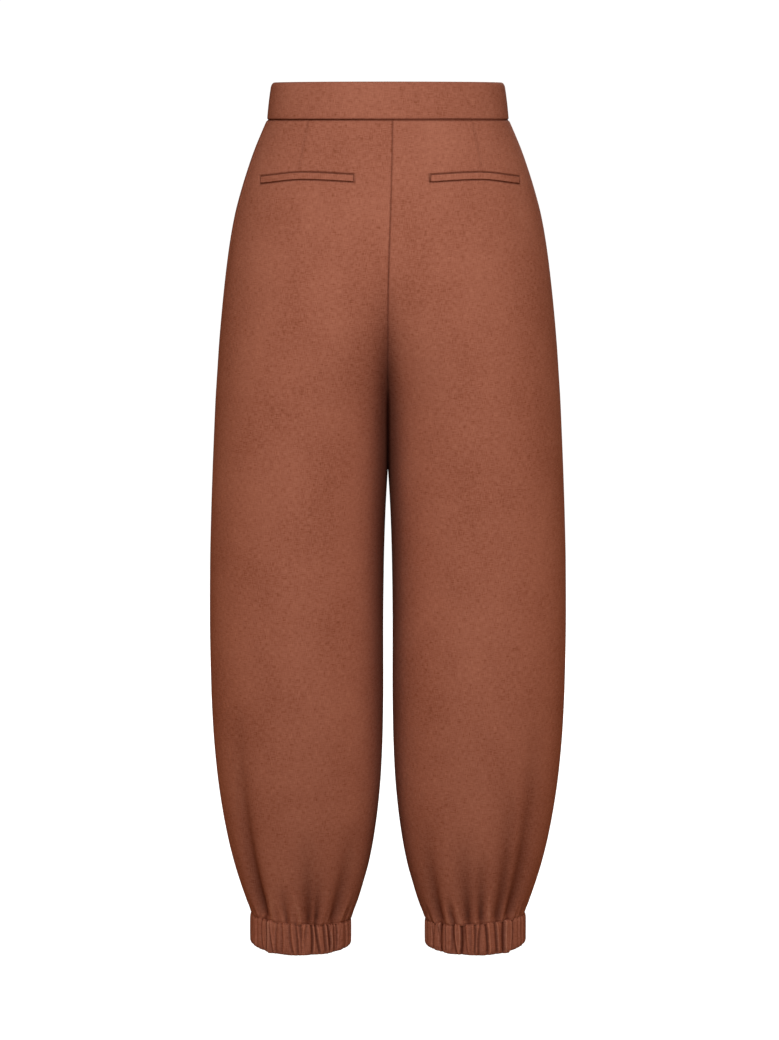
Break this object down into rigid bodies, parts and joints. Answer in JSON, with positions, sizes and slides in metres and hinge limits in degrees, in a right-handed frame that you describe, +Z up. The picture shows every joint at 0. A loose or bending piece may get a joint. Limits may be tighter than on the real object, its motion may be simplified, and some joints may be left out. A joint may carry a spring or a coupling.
{
  "type": "linen trousers",
  "caption": "High-waisted woven trousers with barrel legs gathered into elastic cuffs, welt back pockets and a lapped waistband, filled out as worn and hollow inside.",
  "frame": {"origin": "middle of the waist, half way up the waistband, where the wearer holds the trousers up", "axes": "+Z up, wearer's front towards -Y, wearer's left towards +X"},
  "size_m": [0.411, 0.2397, 1],
  "materials": {
    "linen": "matt plain-woven linen blend, heathered terracotta brown"
  },
  "bodies": {
    "root": {"waistband": "linen", "back_left": "linen", "back_right": "linen", "front_left": "linen", "front_right": "linen", "cuff_left": "linen", "cuff_right": "linen", "welt_left": "linen", "welt_right": "linen", "fly_lap": "linen"}
  },
  "joints": []
}
